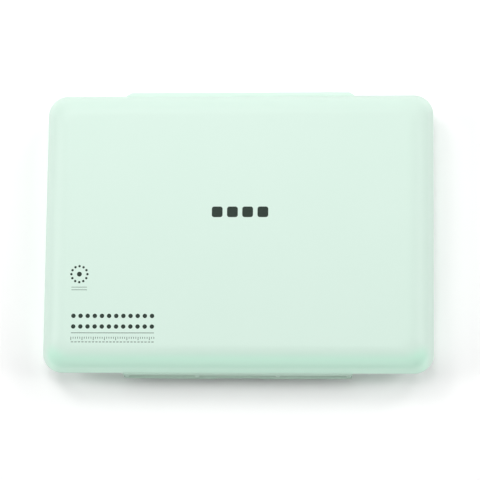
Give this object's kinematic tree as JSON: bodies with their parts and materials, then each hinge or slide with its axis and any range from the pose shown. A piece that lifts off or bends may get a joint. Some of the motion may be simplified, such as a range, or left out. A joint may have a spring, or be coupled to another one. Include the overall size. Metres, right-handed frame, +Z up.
{
  "type": "gouache paint set box",
  "caption": "Shallow clamshell paint case with pillowed lid, pinned hinge and front latch flap, holding paint cups in a tray, a mixing palette and brushes.",
  "frame": {"origin": "centre of the footprint at table height, the underside of the foot ring", "axes": "+X along the hinge to the right, +Y to the hinge at the back, +Z up; the latch is at -Y"},
  "size_m": [0.35, 0.2596, 0.046],
  "materials": {
    "mint_case": "fine satin moulding",
    "pin_steel": "drawn wire",
    "white_tray": "satin",
    "white_palette": "gloss",
    "white_cup": "thin moulded cup",
    "brush_wood": "clear lacquer",
    "ferrule_metal": "polished, crimped",
    "brush_hair": "synthetic bristle",
    "paint_white": "gouache paint",
    "paint_lemon_yellow": "gouache paint",
    "paint_mid_yellow": "gouache paint",
    "paint_orange": "gouache paint",
    "paint_vermilion": "gouache paint",
    "paint_carmine": "gouache paint",
    "paint_rose": "gouache paint",
    "paint_peach": "gouache paint",
    "paint_light_pink": "gouache paint",
    "paint_violet": "gouache paint",
    "paint_lilac": "gouache paint",
    "paint_ultramarine": "gouache paint",
    "paint_cobalt_blue": "gouache paint",
    "paint_sky_blue": "gouache paint",
    "paint_turquoise": "gouache paint",
    "paint_mint_green": "gouache paint",
    "paint_light_green": "gouache paint",
    "paint_mid_green": "gouache paint",
    "paint_olive_green": "gouache paint",
    "paint_yellow_ochre": "gouache paint",
    "paint_burnt_sienna": "gouache paint",
    "paint_burnt_umber": "gouache paint",
    "paint_cool_grey": "gouache paint",
    "paint_black": "gouache paint"
  },
  "bodies": {
    "base": {"base_shell": "mint_case", "hinge_pin_left": "pin_steel", "hinge_pin_right": "pin_steel", "cup_tray": "white_tray", "brush_handles": "brush_wood", "brush_ferrules": "ferrule_metal", "brush_tufts": "brush_hair", "cup_01": "white_cup", "cup_02": "white_cup", "cup_03": "white_cup", "cup_04": "white_cup", "cup_05": "white_cup", "cup_06": "white_cup", "cup_07": "white_cup", "cup_08": "white_cup", "cup_09": "white_cup", "cup_10": "white_cup", "cup_11": "white_cup", "cup_12": "white_cup", "cup_13": "white_cup", "cup_14": "white_cup", "cup_15": "white_cup", "cup_16": "white_cup", "cup_17": "white_cup", "cup_18": "white_cup", "cup_19": "white_cup", "cup_20": "white_cup", "cup_21": "white_cup", "cup_22": "white_cup", "cup_23": "white_cup", "cup_24": "white_cup", "paint_01": "paint_white", "paint_02": "paint_lemon_yellow", "paint_03": "paint_mid_yellow", "paint_04": "paint_orange", "paint_05": "paint_vermilion", "paint_06": "paint_carmine", "paint_07": "paint_rose", "paint_08": "paint_peach", "paint_09": "paint_light_pink", "paint_10": "paint_violet", "paint_11": "paint_lilac", "paint_12": "paint_ultramarine", "paint_13": "paint_cobalt_blue", "paint_14": "paint_sky_blue", "paint_15": "paint_turquoise", "paint_16": "paint_mint_green", "paint_17": "paint_light_green", "paint_18": "paint_mid_green", "paint_19": "paint_olive_green", "paint_20": "paint_yellow_ochre", "paint_21": "paint_burnt_sienna", "paint_22": "paint_burnt_umber", "paint_23": "paint_cool_grey", "paint_24": "paint_black"},
    "lid": {"lid_shell": "mint_case", "palette": "white_palette", "latch_pin": "pin_steel"},
    "latch": {"latch_flap": "mint_case"}
  },
  "joints": [
    {"name": "lid_hinge", "type": "hinge", "parent": "base", "child": "lid", "pos_m": [0, 0.1276, 0.0176], "axis": [-1, 0, 0], "range_deg": [0, 115]},
    {"name": "latch_swing", "type": "hinge", "parent": "lid", "child": "latch", "pos_m": [0, -0.128, 0.0188], "axis": [-1, 0, 0], "range_deg": [0, 80]}
  ]
}
